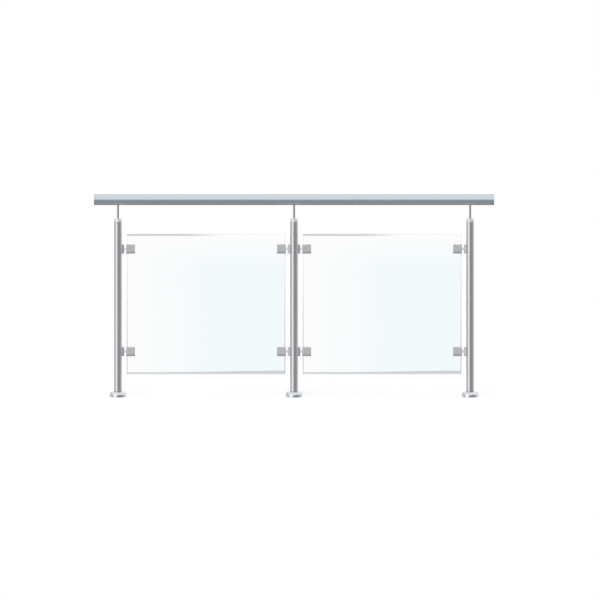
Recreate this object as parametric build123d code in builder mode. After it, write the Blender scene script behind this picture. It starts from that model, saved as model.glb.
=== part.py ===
from build123d import *
from math import cos, radians, sqrt
import os

# A free-standing section of a stainless steel and glass railing. Three tubular
# posts carry a round handrail on thin stems. Between the posts two panes of clear
# glass hang in eight screwed clamps that seat on the round posts.
# X runs along the handrail, -Y is the front, Z is up, and the origin lies on the
# floor under the middle post. All sizes are in millimetres.

# Layout
overall_height = 1100.0
post_pitch = 950.0
rail_overhang = 130.0
stem_show = 71.5
pane_floor_gap = 122.0
pane_top_drop = 63.0
lower_clamp_inset = 123.2
upper_clamp_inset = 81.2

# Handrail tube, its end caps and the nut plates inside it
rail_diameter = 60.3
rail_wall = 2.0
end_cap_face = 3.0
end_cap_plug = 18.0
end_cap_wall = 2.5
end_cap_round = 1.2
nut_plate_length = 36.0
nut_plate_width = 22.0
nut_plate_thickness = 6.0

# Stem between a post cap and the handrail
stem_diameter = 12.0
stud_diameter = 8.0
stud_foot = 20.0
stud_end_show = 2.0

# Post tube and its cap
post_diameter = 42.4
post_wall = 2.0
cap_head = 22.0
cap_plug = 30.0
cap_plug_wall = 3.5
cap_floor = 5.0
cap_taper = 1.8
cap_round = 6.0
cap_groove_height = 2.0
cap_groove_depth = 1.0

# Floor flange, its spigot and the grub screw that locks the post on it
flange_thickness = 8.0
flange_chamfer = 1.0
anchor_post_gap = 9.8
anchor_rim = 9.0
anchor_hole_diameter = 9.0
anchor_hole_count = 4
spigot_height = 30.0
spigot_bore = 24.0
spigot_chamfer = 1.5
grub_diameter = 6.0
grub_length = 6.0
grub_rise = 10.0
grub_sink = 0.4
grub_socket = 3.0
grub_socket_depth = 2.5

# Cover over the flange
cover_height = 27.0
cover_wall = 1.5
cover_gap = 2.5
cover_round = 16.0

# Glass panes
glass_thickness = 8.0
glass_corner = 6.0
glass_arris = 0.8
glass_hole_diameter = 14.0
glass_edge_clearance = 0.7

# Glass clamp: block on the post, neck, rear jaw and front cover plate
clamp_height = 48.0
clamp_depth = 32.0
saddle_wrap = 45.0
block_length = 12.5
shoulder_length = 11.0
shoulder_depth = 6.5
neck_length = 10.5
neck_height = 12.0
neck_front_relief = 9.0
neck_back_relief = 1.5
neck_fillet = 2.0
plate_length = 48.0
clamp_edge_round = 1.2
land_width = 1.8
gasket_thickness = 2.0
gasket_margin = 1.2

# Countersunk screws and rivet nuts of the clamps
jaw_screw_diameter = 8.0
jaw_screw_head = 15.0
jaw_screw_socket = 5.0
jaw_screw_socket_depth = 2.6
jaw_screw_grip = 7.0
post_screw_diameter = 6.0
post_screw_head = 11.2
post_screw_socket = 4.0
post_screw_socket_depth = 2.2
nut_body_diameter = 9.0
nut_flange_diameter = 12.0
nut_flange_thickness = 1.0
nut_bulge_diameter = 11.4
nut_bulge_length = 3.5
nut_length = 12.0

# Clearances
slide_clearance = 0.2
cover_clearance = 0.4
screw_clearance = 0.2
recess_clearance = 0.3
blind_clearance = 1.0

# Radii and levels that follow from the sizes above
rail_radius = rail_diameter / 2
rail_bore_radius = rail_radius - rail_wall
rail_axis_level = overall_height - rail_radius
rail_underside = overall_height - rail_diameter
rail_length = 2 * (post_pitch + rail_overhang)
rail_end_plug_radius = rail_bore_radius - slide_clearance
post_radius = post_diameter / 2
post_bore_radius = post_radius - post_wall
plug_radius = post_bore_radius - slide_clearance
cap_top = rail_underside - stem_show
post_top = cap_top - cap_head
stud_radius = stud_diameter / 2
stud_top = rail_underside + rail_wall + nut_plate_thickness + stud_end_show
anchor_circle_radius = post_radius + anchor_post_gap
flange_radius = anchor_circle_radius + anchor_rim
cover_radius = flange_radius + cover_gap + cover_wall
grub_level = flange_thickness + grub_rise
grub_face = post_radius - grub_sink
pane_height = post_top - pane_top_drop - pane_floor_gap
pane_middle_level = pane_floor_gap + pane_height / 2

# Distances from a post axis along a clamp, and half widths across it
block_start = post_radius * cos(radians(saddle_wrap))
block_end = post_radius + block_length
plate_start = block_end + neck_length
plate_end = plate_start + plate_length
plate_middle = plate_start + plate_length / 2
slot_bottom = plate_start + land_width
slot_half = glass_thickness / 2 + gasket_thickness
clamp_half = clamp_depth / 2
shoulder_start = block_end - shoulder_length
shoulder_half = clamp_half - shoulder_depth
neck_middle = block_end + neck_length / 2
neck_front = clamp_half - neck_front_relief
neck_back = clamp_half - neck_back_relief
pane_edge = slot_bottom + glass_edge_clearance
pane_width = post_pitch - 2 * pane_edge
jaw_screw_length = clamp_half + slot_half + jaw_screw_grip
post_screw_length = slot_bottom - (post_radius - nut_length)
nut_bulge_start = post_radius - sqrt(post_bore_radius**2 - (nut_bulge_diameter / 2) ** 2)

post_places = {"left": -post_pitch, "middle": 0.0, "right": post_pitch}
pane_places = {"left": -post_pitch / 2, "right": post_pitch / 2}
clamp_levels = {
    "upper": pane_floor_gap + pane_height - upper_clamp_inset,
    "lower": pane_floor_gap + lower_clamp_inset,
}

# A clamp's own frame has its origin on the post axis at the clamp's middle height,
# x towards the pane and y to the back. On the other side of a post the same clamp
# is turned half a turn about y, which keeps its cover plate in front.
clamp_places = {}
for pane, pane_x in pane_places.items():
    for level, height in clamp_levels.items():
        for side, turn in (("left", 1), ("right", -1)):
            post_x = pane_x - turn * post_pitch / 2
            clamp_places[f"{pane}_pane_{level}_{side}"] = Plane(
                origin=(post_x, 0, height), x_dir=(turn, 0, 0), z_dir=(0, 0, turn)
            )

# Planes in the clamp's own frame: each screw's head face, and the nut's seat
jaw_screw_seat = Plane(origin=(plate_middle, -clamp_half, 0), x_dir=(1, 0, 0), z_dir=(0, -1, 0))
jaw_thread_mouth = Plane(origin=(plate_middle, slot_half, 0), x_dir=(1, 0, 0), z_dir=(0, -1, 0))
post_screw_seat = Plane(origin=(slot_bottom, 0, 0), x_dir=(0, 1, 0), z_dir=(1, 0, 0))
nut_seat = Plane(origin=(post_radius, 0, 0), x_dir=(0, 1, 0), z_dir=(1, 0, 0))

os.makedirs("parts", exist_ok=True)


def save(part, name):
    part.label = name
    export_step(part, f"parts/{name}.step")


def countersunk_screw(diameter, head, length, socket, socket_depth):
    """Hexagon socket screw with its head face on the XY plane and its shank pointing down."""
    cone = (head - diameter) / 2
    with BuildPart() as screw:
        with BuildSketch(Plane.XZ):
            with BuildLine():
                Polyline(
                    (0, 0),
                    (head / 2, 0),
                    (diameter / 2, -cone),
                    (diameter / 2, -length),
                    (0, -length),
                    close=True,
                )
            make_face()
        revolve(axis=Axis.Z)
        with BuildSketch():
            RegularPolygon(socket / 2, 6, major_radius=False)
        extrude(amount=-socket_depth, mode=Mode.SUBTRACT)
    return screw.part


# Handrail: one tube with a stud hole in its underside over each post
rail_section = Plane(origin=(0, 0, rail_axis_level), x_dir=(0, 1, 0), z_dir=(1, 0, 0))
rail_tube_length = rail_length - 2 * end_cap_face
with BuildPart() as handrail_tube:
    with BuildSketch(rail_section.offset(-rail_tube_length / 2)):
        Circle(rail_radius)
        Circle(rail_bore_radius, mode=Mode.SUBTRACT)
    extrude(amount=rail_tube_length)
    with BuildSketch(Plane.XY.offset(rail_underside)):
        with Locations([(x, 0) for x in post_places.values()]):
            Circle(stud_radius + slide_clearance)
    extrude(amount=rail_radius, mode=Mode.SUBTRACT)
save(handrail_tube.part, "handrail_tube")

# Handrail end cap: a turned disc with a hollow plug, its axis along X
for side, outward in (("left", -1), ("right", 1)):
    cap_origin = (outward * rail_length / 2, 0, rail_axis_level)
    with BuildPart() as end_cap:
        with BuildSketch(Plane(origin=cap_origin, x_dir=(-outward, 0, 0), z_dir=(0, outward, 0))):
            with BuildLine():
                Polyline(
                    (0, 0),
                    (0, rail_radius),
                    (end_cap_face, rail_radius),
                    (end_cap_face, rail_end_plug_radius),
                    (end_cap_face + end_cap_plug, rail_end_plug_radius),
                    (end_cap_face + end_cap_plug, rail_end_plug_radius - end_cap_wall),
                    (end_cap_face, rail_end_plug_radius - end_cap_wall),
                    (end_cap_face, 0),
                    close=True,
                )
            make_face()
        revolve(axis=Axis(cap_origin, (1, 0, 0)))
        rim = end_cap.edges().filter_by(GeomType.CIRCLE).sort_by(Axis.X)
        fillet(rim[-1] if outward > 0 else rim[0], min(end_cap_round, 0.6 * end_cap_face))
    save(end_cap.part, f"handrail_end_cap_{side}")

# Nut plates: curved plates that slide into the rail and take the stems' upper studs
with BuildPart() as rail_nut_plates:
    with BuildSketch(*[rail_section.offset(x - nut_plate_length / 2) for x in post_places.values()]):
        Circle(rail_bore_radius)
        Circle(rail_bore_radius - nut_plate_thickness, mode=Mode.SUBTRACT)
        with Locations((0, -rail_bore_radius)):
            Rectangle(nut_plate_width, rail_bore_radius, mode=Mode.INTERSECT)
    extrude(amount=nut_plate_length)
    with BuildSketch(Plane.XY.offset(rail_underside)):
        with Locations([(x, 0) for x in post_places.values()]):
            Circle(stud_radius)
    extrude(amount=rail_radius, mode=Mode.SUBTRACT)
save(rail_nut_plates.part, "rail_nut_plates")

# Stem: a turned rod with a stud at each end, coped at the top to seat on the rail
with BuildPart() as stem:
    with BuildSketch(Plane.XY.offset(cap_top)):
        Circle(stem_diameter / 2)
    extrude(amount=stem_show + rail_radius)
    with BuildSketch(rail_section.offset(-stem_diameter)):
        Circle(rail_radius)
    extrude(amount=2 * stem_diameter, mode=Mode.SUBTRACT)
    with BuildSketch(Plane.XY.offset(cap_top - stud_foot)):
        Circle(stud_radius)
    extrude(amount=stud_top - (cap_top - stud_foot))
for place, x in post_places.items():
    save(stem.part.moved(Location((x, 0, 0))), f"stem_{place}")

# Post cap: a turned head that starts at the post's diameter and narrows to a rounded
# shoulder, a groove above the joint, and a hollow plug inside the post
with BuildPart() as post_cap:
    with BuildSketch(Plane.XZ) as cap_profile:
        with BuildLine():
            Polyline(
                (stud_radius, cap_top),
                (post_radius - cap_taper, cap_top),
                (post_radius, post_top + cap_groove_height),
                (post_radius - cap_groove_depth, post_top + cap_groove_height),
                (post_radius - cap_groove_depth, post_top),
                (plug_radius, post_top),
                (plug_radius, post_top - cap_plug),
                (plug_radius - cap_plug_wall, post_top - cap_plug),
                (plug_radius - cap_plug_wall, post_top - cap_floor),
                (stud_radius, post_top - cap_floor),
                close=True,
            )
        make_face()
        shoulder = cap_profile.vertices().group_by(Axis.Y)[-1].sort_by(Axis.X)[-1]
        fillet(shoulder, min(cap_round, 0.4 * cap_head))
    revolve(axis=Axis.Z)
for place, x in post_places.items():
    save(post_cap.part.moved(Location((x, 0, 0))), f"post_cap_{place}")

# Posts: tubes with a rivet nut hole for each clamp and a grub screw hole at the foot
for place, x in post_places.items():
    clamp_holes = [frame for frame in clamp_places.values() if abs(frame.origin.X - x) < 1]
    with BuildPart() as post:
        with BuildSketch(Plane(origin=(x, 0, flange_thickness))):
            Circle(post_radius)
            Circle(post_bore_radius, mode=Mode.SUBTRACT)
        extrude(amount=post_top - flange_thickness)
        for frame in clamp_holes:
            with BuildSketch(Plane(origin=frame.origin, x_dir=(0, 1, 0), z_dir=frame.x_dir)):
                Circle(nut_body_diameter / 2)
            extrude(amount=post_radius, mode=Mode.SUBTRACT)
        with BuildSketch(Plane(origin=(x, 0, grub_level), x_dir=(1, 0, 0), z_dir=(0, 1, 0))):
            Circle(grub_diameter / 2)
        extrude(amount=post_radius, mode=Mode.SUBTRACT)
    save(post.part, f"post_{place}")

# Floor flange: a turned disc with a spigot that the post slides over
with BuildPart() as base_flange:
    with BuildSketch(Plane.XZ):
        with BuildLine():
            Polyline(
                (spigot_bore / 2, 0),
                (flange_radius, 0),
                (flange_radius, flange_thickness - flange_chamfer),
                (flange_radius - flange_chamfer, flange_thickness),
                (plug_radius, flange_thickness),
                (plug_radius, flange_thickness + spigot_height - spigot_chamfer),
                (plug_radius - spigot_chamfer, flange_thickness + spigot_height),
                (spigot_bore / 2, flange_thickness + spigot_height),
                close=True,
            )
        make_face()
    revolve(axis=Axis.Z)
    with BuildSketch():
        with PolarLocations(anchor_circle_radius, anchor_hole_count, start_angle=45):
            Circle(anchor_hole_diameter / 2)
    extrude(amount=flange_thickness, mode=Mode.SUBTRACT)
    with BuildSketch(Plane(origin=(0, grub_face - grub_length, grub_level), x_dir=(1, 0, 0), z_dir=(0, 1, 0))):
        Circle(grub_diameter / 2)
    extrude(amount=post_radius, mode=Mode.SUBTRACT)
for place, x in post_places.items():
    save(base_flange.part.moved(Location((x, 0, 0))), f"base_flange_{place}")

# Flange cover: a pressed cup with a hole that slides over the post
cover_hole_radius = post_radius + cover_clearance
with BuildPart() as base_cover:
    with BuildSketch(Plane.XZ) as cup:
        with Locations((cover_hole_radius, 0)):
            Rectangle(cover_radius - cover_hole_radius, cover_height, align=(Align.MIN, Align.MIN))
        outer_corner = cup.vertices().sort_by(lambda v: v.X + v.Y)[-1]
        fillet(outer_corner, cover_round)
        with BuildSketch(mode=Mode.SUBTRACT) as hollow:
            with Locations((0, 0)):
                Rectangle(cover_radius - cover_wall, cover_height - cover_wall, align=(Align.MIN, Align.MIN))
            inner_corner = hollow.vertices().sort_by(lambda v: v.X + v.Y)[-1]
            fillet(inner_corner, cover_round - cover_wall)
    revolve(axis=Axis.Z)
for place, x in post_places.items():
    save(base_cover.part.moved(Location((x, 0, 0))), f"base_cover_{place}")

# Grub screws: they run through the post's wall into the spigot, at the back
with BuildPart() as base_grub_screws:
    grub_heads = [
        Plane(origin=(x, grub_face, grub_level), x_dir=(1, 0, 0), z_dir=(0, 1, 0))
        for x in post_places.values()
    ]
    with BuildSketch(*grub_heads):
        Circle(grub_diameter / 2)
    extrude(amount=-grub_length)
    with BuildSketch(*grub_heads):
        RegularPolygon(grub_socket / 2, 6, major_radius=False)
    extrude(amount=-grub_socket_depth, mode=Mode.SUBTRACT)
save(base_grub_screws.part, "base_grub_screws")

# Glass pane: polished edges and a drilled hole for each clamp
with BuildPart() as glass_pane:
    with BuildSketch(Plane(origin=(0, glass_thickness / 2, 0), x_dir=(1, 0, 0), z_dir=(0, -1, 0))):
        with Locations((0, pane_middle_level)):
            RectangleRounded(pane_width, pane_height, glass_corner)
        hole_offset = post_pitch / 2 - plate_middle
        with Locations([(s * hole_offset, h) for s in (-1, 1) for h in clamp_levels.values()]):
            Circle(glass_hole_diameter / 2, mode=Mode.SUBTRACT)
    extrude(amount=glass_thickness)
    faces = glass_pane.faces().sort_by(Axis.Y)
    chamfer(faces[0].outer_wire().edges() + faces[-1].outer_wire().edges(), glass_arris)
for pane, x in pane_places.items():
    save(glass_pane.part.moved(Location((x, 0, 0))), f"glass_pane_{pane}")

# Clamp blank in the clamp's own frame: a block whose front slopes away from the post,
# a head that holds the glass, and a lower and thinner neck that joins the two
with BuildPart() as clamp_blank:
    with BuildSketch(Plane.XY.offset(-clamp_height / 2)) as plan:
        with BuildLine():
            shoulder = TangentArc((shoulder_start, -clamp_half), (block_end, -shoulder_half), tangent=(1, 0))
            Polyline(
                shoulder @ 1,
                (block_end, clamp_half),
                (block_start, clamp_half),
                (block_start, -clamp_half),
                shoulder @ 0,
            )
        make_face()
        with Locations((plate_middle, 0)):
            Rectangle(plate_length, clamp_depth)
        corners = plan.vertices().filter_by(lambda v: v.X > block_end - 0.01)
        fillet(corners, clamp_edge_round)
    extrude(amount=clamp_height)
    ends = clamp_blank.faces().filter_by(Axis.Z)
    fillet(ends.edges(), clamp_edge_round)
    pocket_level = (clamp_height + neck_height) / 2
    with BuildSketch(Plane.XZ.offset(neck_front)):
        with Locations((neck_middle, 0)):
            Rectangle(neck_length, neck_height + 2 * neck_fillet)
        with Locations((neck_middle, pocket_level), (neck_middle, -pocket_level)):
            RectangleRounded(neck_length, clamp_height, neck_fillet, mode=Mode.SUBTRACT)
    extrude(amount=-neck_front - neck_back)
    with BuildSketch(Plane.XY.offset(-clamp_height / 2)):
        Circle(post_radius)
    extrude(amount=clamp_height, mode=Mode.SUBTRACT)

# Clamp body: the blank without its front plate, slotted for the glass and drilled
with BuildPart() as clamp_body:
    add(clamp_blank.part)
    with BuildSketch(Plane.XY.offset(-clamp_height / 2)):
        with Locations((slot_bottom, -slot_half)):
            Rectangle(plate_length, 2 * slot_half, align=(Align.MIN, Align.MIN))
        with Locations((plate_start - slide_clearance, -slot_half)):
            Rectangle(plate_length + slide_clearance, clamp_half, align=(Align.MIN, Align.MAX))
    extrude(amount=clamp_height, mode=Mode.SUBTRACT)
    with Locations(post_screw_seat):
        CounterSinkHole(
            post_screw_diameter / 2 + screw_clearance,
            post_screw_head / 2,
            counter_sink_angle=90,
        )
    with BuildSketch(Plane.YZ):
        Circle(nut_flange_diameter / 2 + recess_clearance)
    extrude(amount=post_radius + nut_flange_thickness + recess_clearance, mode=Mode.SUBTRACT)
    with BuildSketch(jaw_thread_mouth):
        Circle(jaw_screw_diameter / 2)
    extrude(amount=-jaw_screw_grip - blind_clearance, mode=Mode.SUBTRACT)

# Clamp cover: the blank's front plate, countersunk for the clamp screw
with BuildPart() as clamp_cover:
    add(clamp_blank.part)
    with BuildSketch(Plane.XY.offset(-clamp_height / 2)):
        with Locations((plate_start, -slot_half)):
            Rectangle(plate_length, clamp_half, align=(Align.MIN, Align.MAX))
    extrude(amount=clamp_height, mode=Mode.INTERSECT)
    with Locations(jaw_screw_seat):
        CounterSinkHole(
            jaw_screw_diameter / 2 + screw_clearance,
            jaw_screw_head / 2,
            counter_sink_angle=90,
        )

# Clamp gaskets: a punched rubber sheet on each face of the glass
gasket_length = plate_end - slot_bottom - 2 * gasket_margin
gasket_middle = (plate_end + slot_bottom) / 2
with BuildPart() as clamp_gaskets:
    gasket_faces = [
        Plane(origin=(gasket_middle, depth, 0), x_dir=(1, 0, 0), z_dir=(0, -1, 0))
        for depth in (slot_half, -glass_thickness / 2)
    ]
    with BuildSketch(*gasket_faces):
        Rectangle(gasket_length, clamp_height - 2 * gasket_margin)
        with Locations((plate_middle - gasket_middle, 0)):
            Circle(jaw_screw_diameter / 2 + screw_clearance, mode=Mode.SUBTRACT)
    extrude(amount=gasket_thickness)

for name, frame in clamp_places.items():
    save(clamp_body.part.moved(frame.location), f"clamp_body_{name}")
    save(clamp_cover.part.moved(frame.location), f"clamp_cover_{name}")
    save(clamp_gaskets.part.moved(frame.location), f"clamp_gaskets_{name}")

# Bushes: plastic sleeves that keep the clamp screws off the glass
with BuildPart() as glass_bushes:
    bush_ends = [
        Plane(
            origin=frame.from_local_coords(Vector(plate_middle, glass_thickness / 2, 0)),
            x_dir=(1, 0, 0),
            z_dir=(0, -1, 0),
        )
        for frame in clamp_places.values()
    ]
    with BuildSketch(*bush_ends):
        Circle(glass_hole_diameter / 2 - slide_clearance)
        Circle(jaw_screw_diameter / 2 + screw_clearance, mode=Mode.SUBTRACT)
    extrude(amount=glass_thickness)
save(glass_bushes.part, "glass_bushes")

# Rivet nut in its own frame: flange underside on the XY plane, body pointing down
with BuildPart() as rivet_nut:
    with BuildSketch(Plane.XZ):
        with BuildLine():
            Polyline(
                (post_screw_diameter / 2, nut_flange_thickness),
                (nut_flange_diameter / 2, nut_flange_thickness),
                (nut_flange_diameter / 2, 0),
                (nut_body_diameter / 2, 0),
                (nut_body_diameter / 2, -nut_bulge_start),
                (nut_bulge_diameter / 2, -nut_bulge_start),
                (nut_body_diameter / 2, -nut_bulge_start - nut_bulge_length),
                (nut_body_diameter / 2, -nut_length),
                (post_screw_diameter / 2, -nut_length),
                close=True,
            )
        make_face()
    revolve(axis=Axis.Z)

clamp_screw = countersunk_screw(
    jaw_screw_diameter, jaw_screw_head, jaw_screw_length, jaw_screw_socket, jaw_screw_socket_depth
)
post_screw = countersunk_screw(
    post_screw_diameter, post_screw_head, post_screw_length, post_screw_socket, post_screw_socket_depth
)
with BuildPart() as clamp_screws:
    for frame in clamp_places.values():
        add(clamp_screw.moved(frame.location * jaw_screw_seat.location))
save(clamp_screws.part, "clamp_screws")

with BuildPart() as post_fixing_screws:
    for frame in clamp_places.values():
        add(post_screw.moved(frame.location * post_screw_seat.location))
save(post_fixing_screws.part, "post_fixing_screws")

with BuildPart() as post_rivet_nuts:
    for frame in clamp_places.values():
        add(rivet_nut.part.moved(frame.location * nut_seat.location))
save(post_rivet_nuts.part, "post_rivet_nuts")
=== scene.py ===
"""Finishes, stage and camera for a stainless steel railing with two glass panes."""
import math

import bpy
import numpy as np
from bpy.props import FloatProperty, FloatVectorProperty, PointerProperty
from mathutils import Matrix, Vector


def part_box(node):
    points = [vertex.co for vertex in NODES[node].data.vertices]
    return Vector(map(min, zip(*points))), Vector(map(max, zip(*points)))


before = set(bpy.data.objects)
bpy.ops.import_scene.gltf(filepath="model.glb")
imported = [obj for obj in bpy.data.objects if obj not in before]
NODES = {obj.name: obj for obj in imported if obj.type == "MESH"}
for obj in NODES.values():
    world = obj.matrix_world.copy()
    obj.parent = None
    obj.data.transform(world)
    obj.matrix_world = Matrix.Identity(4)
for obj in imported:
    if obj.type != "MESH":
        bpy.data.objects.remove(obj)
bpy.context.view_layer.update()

bl_info = {
    "name": "Stainless steel railing",
    "version": (1, 0, 0),
    "blender": (4, 5, 0),
    "location": "3D Viewport > Sidebar > Railing",
    "description": "Finishes the railing's steel, glass and rubber, and sets up stage and camera",
    "category": "Object",
}

WHITE = (1.0, 1.0, 1.0, 1.0)


def middle_of(node):
    """The middle of a CAD node's box."""
    return sum(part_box(node), Vector()) / 2


# The posts stand at equal steps, so one pattern wrapped at this pitch is centred on every post.
POST_PITCH = middle_of("post_right").x - middle_of("post_middle").x

# Along y and z that wrap reaches farther than any place on the railing, so only x is folded.
WRAP_REACH = 9.0

# Values of a noise that count as its darkest and its lightest mark. It seldom goes past them.
NOISE_ENDS = (0.3, 0.7)
WIDE_NOISE_ENDS = (0.2, 0.8)
STREAK_ENDS = (0.25, 0.75)

# The colour of the darkest and of the lightest marks beside the colour that is set
STEEL_TONES = (0.97, 1.02)
SCREW_TONES = (0.9, 1.05)
MOULD_TONES = (0.8, 1.2)

# How far the fine and the broad texture of a tube or a casting move its roughness
TUBE_BLUR = (0.03, 0.015)
CAST_BLUR = (0.03, 0.02)
SCREW_BLUR = 0.04
MOULD_BLUR = 0.06
HAZE_BLUR = 0.05

# How far the pits of a casting move its brightness
PIT_SHADE = 0.04

# Marks for each metre on the screws and nuts, along x, y and z. The clamp screws lie along y.
SCREW_MARKS = (2500.0, 400.0, 2500.0)

# Shares of a seam's width, from its middle, at which its line is gone and is full
SEAM_FADE = (0.75, 0.4)

# How far past and short of a neck's end its painted highlight is gone and is full, in metres
NECK_FADE = (0.0003, 0.0005)

# A pane's tinted colour, the glass's own with a painted reflection: shares of the width from the
# left, and of the height from the foot, between which it grows from nothing to full
TINT_REFLECTION_ACROSS = (0.0, 0.65)
TINT_REFLECTION_DOWN = (1.0, 0.72)

# Its edge band. Widths are shares of edge_band: where the band is gone and is full, how much
# wider it grows along the foot, and how far up the foot its clear rim goes.
BAND_FADE = (1.0, 0.6)
SIDE_FADE = (0.5, 0.25)
FOOT_GROWTH = 0.6
FOOT_RIM = 0.5

# The band's strength, which is painted reflection, and between which shares of the width or the
# height it changes
FOOT_GROWTH_ACROSS = (0.2, 1.0)
FOOT_STRENGTH = (0.55, 0.92)
TOP_ACROSS, TOP_STRENGTH = (0.65, 0.34), (0.0, 0.9)
SIDE_UP, SIDE_STRENGTH = (0.95, 0.0), (0.28, 1.15)

# The floor's mottle: marks for each metre, and how far they move its grey
MOTTLE_SCALE = 3.0
MOTTLE_SHADE = 0.01


def nodes_named(*starts):
    """Every CAD node whose name begins with one of these words."""
    return [o for name, o in sorted(NODES.items()) if name.startswith(starts)]


def dress(material, *starts):
    """Puts a material on every face of the CAD nodes whose names begin with these words."""
    found = nodes_named(*starts)
    if not found:
        raise RuntimeError(f"no piece of the railing is named {starts}")
    for piece in found:
        piece.data.materials.clear()
        piece.data.materials.append(material)


class Graph:
    """One node tree, with short calls that add a node, set it and link it."""

    def __init__(self, owner):
        owner.use_nodes = True
        self.tree = owner.node_tree
        self.tree.nodes.clear()

    def add(self, kind, inputs=None, **settings):
        """A node of this kind. Inputs go by name or number, each a value or a socket to link."""
        node = self.tree.nodes.new(kind)
        for name, value in settings.items():
            setattr(node, name, value)
        for key, value in (inputs or {}).items():
            self.put(value, node.inputs[key])
        return node

    def put(self, value, socket):
        """Gives a socket this value, or links it where the value is another socket."""
        if isinstance(value, bpy.types.NodeSocket):
            self.tree.links.new(value, socket)
        else:
            socket.default_value = value

    def math(self, operation, *values):
        """The result of a Math node."""
        return self.add("ShaderNodeMath", dict(enumerate(values)), operation=operation).outputs[0]

    def vector(self, operation, *values):
        """The Vector result of a Vector Math node."""
        node = self.add("ShaderNodeVectorMath", dict(enumerate(values)), operation=operation)
        return node.outputs["Vector"]

    def step(self, value, start, end, low=0.0, high=1.0):
        """Low up to start, high from end on, and a smooth step between them."""
        inputs = {
            "Value": value, "From Min": start, "From Max": end, "To Min": low, "To Max": high}
        node = self.add("ShaderNodeMapRange", inputs, interpolation_type="SMOOTHSTEP")
        return node.outputs["Result"]

    def vary(self, noise, value, spread, ends=NOISE_ENDS):
        """A value that the noise moves down and up by the spread."""
        return self.step(noise, *ends, value - spread, value + spread)

    def blend(self, amount, first, second):
        """The first colour where the amount is 0, the second where it is 1."""
        node = self.add("ShaderNodeMix", data_type="RGBA")
        for key, value in (("Factor", amount), ("A", first), ("B", second)):
            self.put(value, next(s for s in node.inputs if s.name == key and s.enabled))
        return next(s for s in node.outputs if s.enabled)

    def tones(self, amount, colour, low, high):
        """The colour times low where the amount is 0, and times high where it is 1."""
        return self.blend(amount, rgba(colour, low), rgba(colour, high))

    def place(self):
        """The place of a point in the railing's frame, in metres."""
        return self.add("ShaderNodeTexCoord").outputs["Object"]

    def parts(self, vector):
        """The x, y and z of a vector."""
        node = self.add("ShaderNodeSeparateXYZ", {"Vector": vector})
        return node.outputs["X"], node.outputs["Y"], node.outputs["Z"]

    def noise(self, vector, scale=1.0, detail=2.0):
        """Smooth noise from 0 to 1."""
        inputs = {"Vector": vector, "Scale": scale, "Detail": detail}
        return self.add("ShaderNodeTexNoise", inputs).outputs["Fac"]

    def bump(self, height, distance):
        """A normal bent by a height from 0 to 1, with the height of 1 in metres."""
        inputs = {"Height": height, "Distance": distance, "Strength": 1.0}
        return self.add("ShaderNodeBump", inputs).outputs["Normal"]

    def surface(self, inputs):
        """A Principled shader as the material's surface."""
        shader = self.add("ShaderNodeBsdfPrincipled", inputs)
        self.add("ShaderNodeOutputMaterial", {"Surface": shader.outputs["BSDF"]})


def rgba(colour, gain=1.0):
    """A colour with full alpha, its three parts multiplied by the gain."""
    return (*(min(1.0, c * gain) for c in colour), 1.0)


def seam_line(g, z, seam, finish):
    """1 on a thin level line at the seam's height, where one piece meets the next, else 0."""
    away = g.math("ABSOLUTE", g.math("SUBTRACT", z, seam))
    return g.step(away, *(share * finish.seam_width for share in SEAM_FADE))


def tube_steel(name, finish, colour, axis, seam=0.0):
    """Steel tube ground along its axis: long fine streaks in its colour, gloss and relief.

    A thin darker line runs round it at the seam's height.
    """
    material = bpy.data.materials.new(name)
    g = Graph(material)
    across, along = 1 / finish.grain_width, 1 / finish.grain_length
    scale = [across] * 3
    scale["XYZ".index(axis)] = along
    place = g.place()
    streaks = g.noise(g.vector("MULTIPLY", place, scale), detail=3.0)
    clouds = g.noise(place, scale=1 / finish.cloud_size)
    tone = g.tones(g.step(streaks, *STREAK_ENDS), colour, *STEEL_TONES)
    line = seam_line(g, g.parts(place)[2], seam, finish)
    fine, broad = TUBE_BLUR
    g.surface({
        "Base Color": g.blend(line, tone, rgba(colour, finish.seam_tone)),
        "Metallic": 1.0,
        "Roughness": g.math(
            "ADD", g.vary(streaks, finish.tube_roughness, fine), g.vary(clouds, 0.0, broad)),
        "Normal": g.bump(streaks, finish.grain_depth),
    })
    return material


def turned_steel(name, finish, colour, metal, seam=0.0):
    """Steel turned on a lathe and polished: faint rings about the nearest post's axis.

    A thin darker line runs round at the seam's height, where the piece meets the next one.
    """
    material = bpy.data.materials.new(name)
    g = Graph(material)
    place = g.place()
    x, y = from_post(g, place)
    _, _, z = g.parts(place)
    radius = g.math("SQRT", g.math("ADD", g.math("MULTIPLY", x, x), g.math("MULTIPLY", y, y)))
    turns = g.math("DIVIDE", g.math("ADD", radius, z), finish.ring_pitch)
    ring = g.math("SINE", g.math("MULTIPLY", turns, 2 * math.pi))
    haze = g.noise(place, scale=1 / finish.cloud_size, detail=4.0)
    tone = g.tones(haze, colour, *STEEL_TONES)
    line = seam_line(g, z, seam, finish)
    clear, hazy = finish.polish_roughness, finish.polish_roughness + HAZE_BLUR
    g.surface({
        "Base Color": g.blend(line, tone, rgba(colour, finish.seam_tone)),
        "Metallic": metal,
        "Roughness": g.step(haze, *WIDE_NOISE_ENDS, clear, hazy),
        "Normal": g.bump(ring, finish.ring_depth),
    })
    return material


def from_post(g, place):
    """A place seen from the axis of the nearest post: its x and y."""
    corner = Vector((POST_PITCH / 2, WRAP_REACH, WRAP_REACH))
    x, y, _ = g.parts(g.vector("WRAP", place, corner, -corner))
    return x, y


def painted_block_shade(g, place, finish):
    """1 on the saddle block next to each post, and 0 on the jaw beyond it. The darker tone this
    gives the blocks is painted shade.
    """
    x, _ = from_post(g, place)
    return g.step(
        g.math("ABSOLUTE", x), finish.block_reach + finish.block_fade, finish.block_reach)


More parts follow.
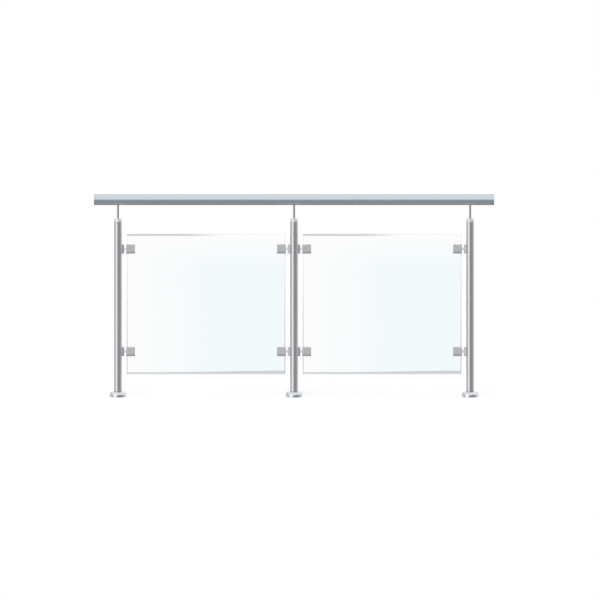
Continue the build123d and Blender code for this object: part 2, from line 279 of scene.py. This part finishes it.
def painted_neck_highlight(g, place, finish):
    """1 on the thin neck between a clamp's block and its jaw, and 0 elsewhere. The white, not
    metallic colour it gives the necks is a painted highlight.
    """
    x, _ = from_post(g, place)
    half = finish.neck_length / 2
    middle = finish.block_reach + half
    away = g.math("ABSOLUTE", g.math("SUBTRACT", g.math("ABSOLUTE", x), middle))
    past, short = NECK_FADE
    return g.step(away, half + past, half - short)


def painted_foot_shade(g, place, finish):
    """1 along the lower edge of every clamp's plate, and 0 from a third of its height up. The
    darker foot this gives the plates is painted shade.
    """
    low, high = (
        middle_of(f"clamp_cover_left_pane_{level}_left").z for level in ("lower", "upper"))
    half = (high - low) / 2
    _, _, z = g.parts(place)
    level = g.math("WRAP", g.math("SUBTRACT", z, low), half, -half)
    return g.step(level, finish.foot_top, finish.foot_top - finish.foot_fade)


def cast_steel(name, finish, shade, shaded):
    """Steel cast and bead blasted: an even, very fine pitting. It is darker where the shade is 1, a
    painted shade, and white and not metallic on the necks, a painted highlight.
    """
    material = bpy.data.materials.new(name)
    g = Graph(material)
    place = g.place()
    pits = g.noise(place, scale=1 / finish.pit_size, detail=3.0)
    clouds = g.noise(place, scale=1 / finish.cloud_size)
    tone = g.tones(shade(g, place, finish), finish.clamp_colour, 1.0, shaded)
    # The necks turn white and not metallic: a painted highlight.
    neck = painted_neck_highlight(g, place, finish)
    tone = g.blend(neck, tone, rgba(finish.neck_highlight_colour))
    value = g.vary(pits, 1.0, PIT_SHADE, WIDE_NOISE_ENDS)
    pitted = g.add("ShaderNodeHueSaturation", {"Color": tone, "Value": value})
    fine, broad = CAST_BLUR
    g.surface({
        "Base Color": pitted.outputs["Color"],
        "Metallic": g.math("SUBTRACT", 1.0, neck),
        "Roughness": g.math(
            "ADD", g.vary(pits, finish.clamp_roughness, fine), g.vary(clouds, 0.0, broad)),
        "Normal": g.bump(pits, finish.pit_depth),
    })
    return material


def screw_steel(name, finish, colour, roughness):
    """Bright steel of a screw or nut: faint flow marks along the shank and across the head."""
    material = bpy.data.materials.new(name)
    g = Graph(material)
    marks = g.noise(g.vector("MULTIPLY", g.place(), SCREW_MARKS))
    g.surface({
        "Base Color": g.tones(marks, colour, *SCREW_TONES),
        "Metallic": 1.0,
        "Roughness": g.vary(marks, roughness, SCREW_BLUR),
        "Normal": g.bump(marks, finish.pit_depth),
    })
    return material


def moulded(name, colour, roughness, grain_size, grain_depth):
    """Rubber or plastic with the fine grain of its mould."""
    material = bpy.data.materials.new(name)
    g = Graph(material)
    grain = g.noise(g.place(), scale=1 / grain_size, detail=4.0)
    g.surface({
        "Base Color": g.tones(grain, colour, *MOULD_TONES),
        "Roughness": g.vary(grain, roughness, MOULD_BLUR),
        "Normal": g.bump(grain, grain_depth),
    })
    return material


def painted_edge_reflection(g, glass, x, z, width, height):
    """How strong the band along a pane's ground edge is at x and z from its lower left corner. The
    band is partly the ground edge's own grey and partly painted reflection.
    """
    across, up = g.math("DIVIDE", x, width), g.math("DIVIDE", z, height)
    from_right, from_top = g.math("SUBTRACT", width, x), g.math("SUBTRACT", height, z)
    gone, full = (share * glass.edge_band for share in BAND_FADE)
    side_gone, side_full = (share * glass.edge_band for share in SIDE_FADE)

    growth = g.step(across, *FOOT_GROWTH_ACROSS)
    foot = g.math("MULTIPLY_ADD", growth, -FOOT_GROWTH * glass.edge_band, z)
    rim = g.step(z, 0.0, FOOT_RIM * glass.edge_band, *FOOT_STRENGTH)
    foot = g.math("MULTIPLY", g.step(foot, gone, full), rim)

    top = g.step(from_top, gone, full)
    top = g.math("MULTIPLY", top, g.step(across, *TOP_ACROSS, *TOP_STRENGTH))

    sides = g.step(g.math("MINIMUM", x, from_right), side_gone, side_full)
    sides = g.math("MULTIPLY", sides, g.step(up, *SIDE_UP, *SIDE_STRENGTH))
    return g.math("MAXIMUM", g.math("MAXIMUM", foot, top), sides)


def pane_glass(name, glass, pane):
    """Clear glass of one pane.

    It is clear at the pane's left and top, and grows tinted towards the right and the foot: the
    glass's own colour with a painted reflection. The ground edge shows as a grey band, partly
    its own grey and partly painted reflection, strong along the foot and the left of the top,
    and fading up the sides.
    """
    low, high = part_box(pane)
    width, height = high.x - low.x, high.z - low.z
    material = bpy.data.materials.new(name)
    g = Graph(material)
    x, _, z = g.parts(g.vector("SUBTRACT", g.place(), tuple(low)))
    across, up = g.math("DIVIDE", x, width), g.math("DIVIDE", z, height)
    # The colour growing across the pane is painted reflection over the glass's own.
    tint_and_reflection = g.math("MULTIPLY", g.step(across, *TINT_REFLECTION_ACROSS), g.step(up, *TINT_REFLECTION_DOWN))
    body = g.blend(tint_and_reflection, WHITE, rgba(glass.tint_and_reflection))
    edge = painted_edge_reflection(g, glass, x, z, width, height)
    g.surface({
        "Base Color": g.blend(edge, body, rgba(glass.edge_colour)),
        "Roughness": 0.0,
        "IOR": 1.5,
        "Transmission Weight": 1.0,
    })
    return material


class RailingFinish(bpy.types.PropertyGroup):
    """Colours and textures of the steel."""

    rail_colour: FloatVectorProperty(
        name="Rail colour", description="Reflected colour of the handrail",
        default=(0.71, 0.785, 0.825), subtype="COLOR", min=0, max=1)
    post_colour: FloatVectorProperty(
        name="Post colour", description="Reflected colour of the posts",
        default=(0.80, 0.805, 0.815), subtype="COLOR", min=0, max=1)
    stem_colour: FloatVectorProperty(
        name="Stem colour", description="Reflected colour of the stems",
        default=(0.59, 0.592, 0.595), subtype="COLOR", min=0, max=1)
    tube_roughness: FloatProperty(
        name="Tube roughness", description="Blur of the reflections in the ground tubes",
        default=0.24, subtype="FACTOR", min=0, max=1)
    grain_width: FloatProperty(
        name="Grain width", description="Width of one grinding streak",
        default=0.0004, unit="LENGTH")
    grain_length: FloatProperty(
        name="Grain length", description="Length of one grinding streak",
        default=0.09, unit="LENGTH")
    grain_depth: FloatProperty(
        name="Grain depth", description="Depth of the grinding streaks",
        default=0.000006, unit="LENGTH")
    cloud_size: FloatProperty(
        name="Cloud size", description="Size of the soft variations in gloss",
        default=0.08, unit="LENGTH")
    polish_colour: FloatVectorProperty(
        name="Polish colour", description="Reflected colour of the polished base covers",
        default=(0.90, 0.91, 0.92), subtype="COLOR", min=0, max=1)
    cap_colour: FloatVectorProperty(
        name="Cap colour", description="Colour of the posts' satin caps",
        default=(0.90, 0.905, 0.915), subtype="COLOR", min=0, max=1)
    cap_metal: FloatProperty(
        name="Cap metal", description="How much of the caps' colour is a mirror's",
        default=0.5, subtype="FACTOR", min=0, max=1)
    polish_roughness: FloatProperty(
        name="Polish roughness", description="Blur of the reflections in the polished pieces",
        default=0.08, subtype="FACTOR", min=0, max=1)
    ring_pitch: FloatProperty(
        name="Ring pitch", description="Step of the lathe's rings",
        default=0.0006, unit="LENGTH")
    ring_depth: FloatProperty(
        name="Ring depth", description="Depth of the lathe's rings",
        default=0.0000006, unit="LENGTH")
    # The seam's line only darkens the colour there.
    seam_width: FloatProperty(
        name="Seam width",
        description="Width of the dull line where a turned piece meets the next one",
        default=0.0028, unit="LENGTH")
    seam_tone: FloatProperty(
        name="Seam tone", description="Brightness of that line beside the piece's own",
        default=0.62, subtype="FACTOR", min=0, max=1)
    clamp_colour: FloatVectorProperty(
        name="Clamp colour", description="Reflected colour of the cast glass clamps",
        default=(0.94, 0.945, 0.945), subtype="COLOR", min=0, max=1)
    clamp_roughness: FloatProperty(
        name="Clamp roughness", description="Blur of the reflections in the clamps",
        default=0.42, subtype="FACTOR", min=0, max=1)
    pit_size: FloatProperty(
        name="Pit size", description="Size of the blasted surface's pits",
        default=0.0005, unit="LENGTH")
    pit_depth: FloatProperty(
        name="Pit depth", description="Depth of the blasted surface's pits",
        default=0.00001, unit="LENGTH")
    block_reach: FloatProperty(
        name="Block reach",
        description="From a post's axis to the end of the clamps' cast blocks",
        default=0.0334, unit="LENGTH")
    block_fade: FloatProperty(
        name="Block fade", description="Length over which the blocks' darker tone ends",
        default=0.005, unit="LENGTH")
    # The blocks' darker tone is painted shade.
    block_painted_shade: FloatProperty(
        name="Block shade", description="Brightness of the blocks beside the clamps' own",
        default=0.82, subtype="FACTOR", min=0, max=1)
    # The necks' white colour is a painted highlight.
    neck_highlight_colour: FloatVectorProperty(
        name="Neck colour", description="Colour of the pale skin on the clamps' necks",
        default=(1.0, 1.0, 1.0), subtype="COLOR", min=0, max=1)
    neck_length: FloatProperty(
        name="Neck length", description="Length of the clamps' thin necks",
        default=0.0108, unit="LENGTH")
    foot_top: FloatProperty(
        name="Foot top",
        description="Level below a clamp's middle at which its plate starts to darken",
        default=-0.010, unit="LENGTH")
    foot_fade: FloatProperty(
        name="Foot fade", description="Height over which the plate darkens",
        default=0.008, unit="LENGTH")
    # The plates' darker foot is painted shade.
    foot_painted_shade: FloatProperty(
        name="Foot shade", description="Brightness of the plates' foot beside their own",
        default=0.70, subtype="FACTOR", min=0, max=1)
    screw_colour: FloatVectorProperty(
        name="Screw colour", description="Reflected colour of the clamp screws",
        default=(0.95, 0.955, 0.96), subtype="COLOR", min=0, max=1)
    screw_roughness: FloatProperty(
        name="Screw roughness", description="Blur of the clamp screws and the nut plates",
        default=0.40, subtype="FACTOR", min=0, max=1)
    fixing_colour: FloatVectorProperty(
        name="Fixing colour", description="Reflected colour of the hidden flanges, nuts and screws",
        default=(0.62, 0.63, 0.65), subtype="COLOR", min=0, max=1)
    fixing_roughness: FloatProperty(
        name="Fixing roughness", description="Blur of the hidden flanges, nuts and screws",
        default=0.38, subtype="FACTOR", min=0, max=1)


class RailingGlass(bpy.types.PropertyGroup):
    """Tint and edge of the glass panes."""

    # Where it is full, this colour is the glass's own with a painted reflection.
    tint_and_reflection: FloatVectorProperty(
        name="Tint", description="Colour of the glass where its tint is full",
        default=(0.90, 0.972, 0.99), subtype="COLOR", min=0, max=1)
    # The band's grey is partly painted reflection.
    edge_colour: FloatVectorProperty(
        name="Edge colour", description="Colour of the band along the ground edge",
        default=(0.60, 0.625, 0.635), subtype="COLOR", min=0, max=1)
    edge_band: FloatProperty(
        name="Edge band", description="Width of the band along the ground edge",
        default=0.0135, unit="LENGTH")


class RailingSoft(bpy.types.PropertyGroup):
    """Colours and grain of the rubber and plastic pieces."""

    rubber_colour: FloatVectorProperty(
        name="Rubber colour", description="Colour of the clamp gaskets",
        default=(0.025, 0.026, 0.028), subtype="COLOR", min=0, max=1)
    rubber_roughness: FloatProperty(
        name="Rubber roughness", description="Dullness of the gaskets",
        default=0.65, subtype="FACTOR", min=0, max=1)
    rubber_grain: FloatProperty(
        name="Rubber grain", description="Size of the grain on the gaskets",
        default=0.0006, unit="LENGTH")
    rubber_depth: FloatProperty(
        name="Rubber depth", description="Depth of the grain on the gaskets",
        default=0.00002, unit="LENGTH")
    bush_colour: FloatVectorProperty(
        name="Bush colour", description="Colour of the bushes in the glass",
        default=(0.72, 0.71, 0.67), subtype="COLOR", min=0, max=1)
    bush_roughness: FloatProperty(
        name="Bush roughness", description="Dullness of the bushes",
        default=0.45, subtype="FACTOR", min=0, max=1)
    bush_grain: FloatProperty(
        name="Bush grain", description="Size of the grain on the bushes",
        default=0.0008, unit="LENGTH")
    bush_depth: FloatProperty(
        name="Bush depth", description="Depth of the grain on the bushes",
        default=0.00001, unit="LENGTH")


class RailingStage(bpy.types.PropertyGroup):
    """Camera, floor and light."""

    frame_width: FloatProperty(
        name="Frame width", description="Width that the camera takes in",
        default=3.237, unit="LENGTH")
    aim: FloatVectorProperty(
        name="Aim", description="Point at the middle of the picture",
        default=(0.0321, 0.0, 0.5245), subtype="TRANSLATION", unit="LENGTH")
    elevation: FloatProperty(
        name="Elevation", description="Angle at which the camera looks down",
        default=math.radians(6.5), subtype="ANGLE", unit="ROTATION")
    camera_distance: FloatProperty(
        name="Camera distance", description="From the aim to the camera",
        default=12.0, unit="LENGTH")
    floor_size: FloatVectorProperty(
        name="Floor size", description="Width and depth of the floor",
        size=2, default=(7.0, 6.4), unit="LENGTH")
    floor_back: FloatProperty(
        name="Floor back", description="How far the floor goes on behind the railing",
        default=0.95, unit="LENGTH")
    floor_colour: FloatProperty(
        name="Floor colour", description="Grey of the floor under the lamp",
        default=0.50, subtype="FACTOR")
    floor_glow: FloatProperty(
        name="Floor glow", description="Light that the floor adds for the eye, to look white",
        default=0.54, subtype="FACTOR")
    key_power: FloatProperty(
        name="Key power", description="Power of the large soft lamp",
        default=100.0, unit="POWER")
    key_size: FloatVectorProperty(
        name="Key size", description="Width and height of the large soft lamp",
        size=2, default=(4.0, 2.5), unit="LENGTH")
    key_place: FloatVectorProperty(
        name="Key place", description="Where the large soft lamp hangs",
        default=(-1.0, -3.5, 6.0), subtype="TRANSLATION", unit="LENGTH")
    key_aim: FloatVectorProperty(
        name="Key aim", description="Point that the large soft lamp faces",
        default=(0.0, 0.0, 0.4), subtype="TRANSLATION", unit="LENGTH")


# The studio as the steel sees it. Each card is a round patch of sky: the direction of its
# middle, the angles in degrees from there at which it starts to fade and is gone, and its
# colour. Later cards lie over earlier ones.
ROOM_COLOUR = (0.328, 0.333, 0.345, 1.0)
SKY_CARDS = (
    ("overhead box", (0.0, 0.06, 1.0), 81.0, 99.0, (0.87, 0.87, 0.89, 1.0)),
    ("left screen", (-0.80, 0.59, -0.12), 37.0, 55.0, (0.58, 0.60, 0.62, 1.0)),
    ("front left strip", (-0.69, -0.72, -0.12), 14.0, 30.0, (1.06, 1.07, 1.08, 1.0)),
    ("right flag", (0.60, -0.79, -0.12), 21.0, 38.0, (0.285, 0.292, 0.305, 1.0)),
    ("right rear screen", (0.66, 0.75, -0.12), 26.0, 42.0, (0.74, 0.75, 0.76, 1.0)),
)


def studio_sky(world):
    """White behind the railing and through its glass. Steel and floor see the studio's cards."""
    g = Graph(world)
    direction = g.add("ShaderNodeTexCoord").outputs["Generated"]
    sky = ROOM_COLOUR
    for name, middle, fade, gone, colour in SKY_CARDS:
        facing = g.add(
            "ShaderNodeVectorMath", {0: direction, 1: Vector(middle).normalized()},
            operation="DOT_PRODUCT", label=name)
        outer, inner = math.cos(math.radians(gone)), math.cos(math.radians(fade))
        sky = g.blend(g.step(facing.outputs["Value"], outer, inner), sky, colour)
    path = g.add("ShaderNodeLightPath").outputs
    seen = g.math("MAXIMUM", path["Is Camera Ray"], path["Is Transmission Ray"])
    light = g.add(
        "ShaderNodeBackground", {"Color": g.blend(seen, sky, WHITE), "Strength": 1.0})
    g.add("ShaderNodeOutputWorld", {"Surface": light.outputs["Background"]})


def floor_material(stage):
    """A grey floor that glows just enough to look white, so only its shadows show."""
    material = bpy.data.materials.new("studio_floor")
    g = Graph(material)
    mottle = g.noise(g.place(), scale=MOTTLE_SCALE)
    grey = g.vary(mottle, stage.floor_colour, MOTTLE_SHADE, WIDE_NOISE_ENDS)
    paint = g.add("ShaderNodeBsdfDiffuse", {"Color": grey})
    path = g.add("ShaderNodeLightPath").outputs
    seen = g.math("MAXIMUM", path["Is Camera Ray"], path["Is Glossy Ray"])
    seen = g.math("MAXIMUM", seen, path["Is Transmission Ray"])
    glow = g.add("ShaderNodeEmission", {"Strength": g.math("MULTIPLY", seen, stage.floor_glow)})
    both = g.add("ShaderNodeAddShader", {0: paint.outputs["BSDF"], 1: glow.outputs["Emission"]})
    g.add("ShaderNodeOutputMaterial", {"Surface": both.outputs["Shader"]})
    return material


def floor_mesh(width, depth, back, columns=29, rows=21):
    """A level grid: x runs evenly over the width, y over the depth up to the back, and z is 0."""
    x, y = np.meshgrid(
        np.linspace(-width / 2, width / 2, columns), np.linspace(back - depth, back, rows))
    points = np.stack([x, y, np.zeros_like(x)], axis=-1).reshape(-1, 3)
    index = np.arange(columns * rows).reshape(rows, columns)
    corners = [index[:-1, :-1], index[:-1, 1:], index[1:, 1:], index[1:, :-1]]
    quads = np.stack(corners, axis=-1).reshape(-1, 4)
    mesh = bpy.data.meshes.new("studio_floor")
    mesh.from_pydata(points.tolist(), [], quads.tolist())
    return mesh


class RAILING_OT_handrail(bpy.types.Operator):
    """Grinds the handrail along its length, and finishes its end caps and inner nut plates"""

    bl_idname = "railing.handrail"
    bl_label = "Handrail"

    def execute(self, context):
        finish = context.scene.railing_finish
        dress(tube_steel("handrail_steel", finish, finish.rail_colour, "X"), "handrail_")
        plates = screw_steel(
            "nut_plate_steel", finish, finish.fixing_colour, finish.screw_roughness)
        dress(plates, "rail_nut_plates")
        return {"FINISHED"}


class RAILING_OT_posts(bpy.types.Operator):
    """Grinds the posts and stems along their height"""

    bl_idname = "railing.posts"
    bl_label = "Posts and stems"

    def execute(self, context):
        finish = context.scene.railing_finish
        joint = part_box("base_cover_middle")[1].z + finish.seam_width / 2
        steel = tube_steel("post_steel", finish, finish.post_colour, "Z", joint)
        dress(steel, "post_left", "post_middle", "post_right")
        dress(tube_steel("stem_steel", finish, finish.stem_colour, "Z"), "stem_")
        return {"FINISHED"}


class RAILING_OT_turned_trim(bpy.types.Operator):
    """Gives the post caps a satin finish and polishes the base covers"""

    bl_idname = "railing.turned_trim"
    bl_label = "Caps and covers"

    def execute(self, context):
        finish = context.scene.railing_finish
        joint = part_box("post_middle")[1].z + finish.seam_width / 2
        caps = turned_steel(
            "cap_steel_turned", finish, finish.cap_colour, finish.cap_metal, joint)
        dress(caps, "post_cap_")
        covers = turned_steel("cover_steel_turned", finish, finish.polish_colour, 1.0)
        dress(covers, "base_cover_")
        return {"FINISHED"}


class RAILING_OT_fixings(bpy.types.Operator):
    """Finishes the floor flanges and the hidden screws and nuts"""

    bl_idname = "railing.fixings"
    bl_label = "Flanges and fixings"

    def execute(self, context):
        finish = context.scene.railing_finish
        steel = screw_steel(
            "fixing_steel_plain", finish, finish.fixing_colour, finish.fixing_roughness)
        dress(steel, "base_flange_", "base_grub_screws", "post_fixing_screws", "post_rivet_nuts")
        return {"FINISHED"}


class RAILING_OT_clamps(bpy.types.Operator):
    """Finishes the glass clamps: blasted steel with painted shade and a painted highlight, bright
    screws, rubber gaskets, plastic bushes
    """

    bl_idname = "railing.clamps"
    bl_label = "Glass clamps"

    def execute(self, context):
        finish = context.scene.railing_finish
        soft = context.scene.railing_soft
        # The bodies get painted shade on their blocks and a painted highlight on their necks; the
        # covers get painted shade along their foot.
        dress(cast_steel("clamp_body_blasted_painted_light", finish, painted_block_shade, finish.block_painted_shade),
              "clamp_body_")
        dress(cast_steel("clamp_cover_blasted_painted_light", finish, painted_foot_shade, finish.foot_painted_shade),
              "clamp_cover_")
        dress(screw_steel("screw_steel_bright", finish, finish.screw_colour,
                          finish.screw_roughness), "clamp_screws")
        dress(moulded("gasket_rubber_black", soft.rubber_colour, soft.rubber_roughness,
                      soft.rubber_grain, soft.rubber_depth), "clamp_gaskets_")
        dress(moulded("bush_plastic_natural", soft.bush_colour, soft.bush_roughness,
                      soft.bush_grain, soft.bush_depth), "glass_bushes")
        return {"FINISHED"}


class RAILING_OT_glass(bpy.types.Operator):
    """Makes the two panes clear glass with a faint tint and a ground edge"""

    bl_idname = "railing.glass"
    bl_label = "Glass panes"

    def execute(self, context):
        for pane in nodes_named("glass_pane_"):
            glass = pane_glass(f"{pane.name}_glass", context.scene.railing_glass, pane.name)
            dress(glass, pane.name)
            pane.visible_shadow = False
        return {"FINISHED"}


class RAILING_OT_stage(bpy.types.Operator):
    """Lays the floor, lights the studio and sets up the camera"""

    bl_idname = "railing.stage"
    bl_label = "Stage"

    def execute(self, context):
        scene = context.scene
        stage = scene.railing_stage
        scene.view_settings.view_transform = "Standard"
        self.lay_floor(scene, stage)
        self.hang_lamp(scene, stage)
        self.set_camera(scene, stage)
        scene.world = bpy.data.worlds.new("studio")
        studio_sky(scene.world)
        return {"FINISHED"}

    def lay_floor(self, scene, stage):
        """A floor that the steel doesn't mirror, so the tubes' undersides stay dark."""
        mesh = floor_mesh(*stage.floor_size, stage.floor_back)
        floor = bpy.data.objects.new("studio_floor", mesh)
        scene.collection.objects.link(floor)
        floor.data.materials.append(floor_material(stage))
        floor.visible_glossy = False

    def hang_lamp(self, scene, stage):
        """One large soft lamp, high at the front left, for soft shadows. It isn't seen itself."""
        lamp = bpy.data.lights.new("key_lamp", "AREA")
        lamp.shape = "RECTANGLE"
        lamp.size, lamp.size_y = stage.key_size
        lamp.energy = stage.key_power
        holder = bpy.data.objects.new("key_lamp", lamp)
        scene.collection.objects.link(holder)
        holder.location = stage.key_place
        aim = Vector(stage.key_aim) - holder.location
        holder.rotation_euler = aim.to_track_quat("-Z", "Y").to_euler()
        holder.visible_camera = holder.visible_glossy = holder.visible_transmission = False

    def set_camera(self, scene, stage):
        """A camera with parallel rays, so that the railing's front keeps its true proportions."""
        lens = bpy.data.cameras.new("front_camera")
        lens.type = "ORTHO"
        lens.ortho_scale = stage.frame_width
        camera = bpy.data.objects.new("front_camera", lens)
        scene.collection.objects.link(camera)
        tilt = stage.elevation
        back = Vector((0.0, -math.cos(tilt), math.sin(tilt)))
        camera.location = Vector(stage.aim) + back * stage.camera_distance
        camera.rotation_euler = (math.pi / 2 - tilt, 0.0, 0.0)
        scene.camera = camera


class RAILING_PT_sidebar(bpy.types.Panel):
    """Lists the steps that finish the railing"""

    bl_idname = "RAILING_PT_sidebar"
    bl_label = "Railing"
    bl_space_type = "VIEW_3D"
    bl_region_type = "UI"
    bl_category = "Railing"

    def draw(self, context):
        for step in STEPS:
            self.layout.operator(step.bl_idname)


SETTINGS = {
    "railing_finish": RailingFinish,
    "railing_glass": RailingGlass,
    "railing_soft": RailingSoft,
    "railing_stage": RailingStage,
}
STEPS = (
    RAILING_OT_handrail,
    RAILING_OT_posts,
    RAILING_OT_turned_trim,
    RAILING_OT_fixings,
    RAILING_OT_clamps,
    RAILING_OT_glass,
    RAILING_OT_stage,
)
CLASSES = (*SETTINGS.values(), *STEPS, RAILING_PT_sidebar)


def register():
    for cls in CLASSES:
        bpy.utils.register_class(cls)
    for name, group in SETTINGS.items():
        setattr(bpy.types.Scene, name, PointerProperty(type=group))


def unregister():
    for name in SETTINGS:
        delattr(bpy.types.Scene, name)
    for cls in reversed(CLASSES):
        bpy.utils.unregister_class(cls)


def main():
    register()
    for step in STEPS:
        getattr(bpy.ops.railing, step.bl_idname.split(".")[1])()


if __name__ == "__main__":
    main()
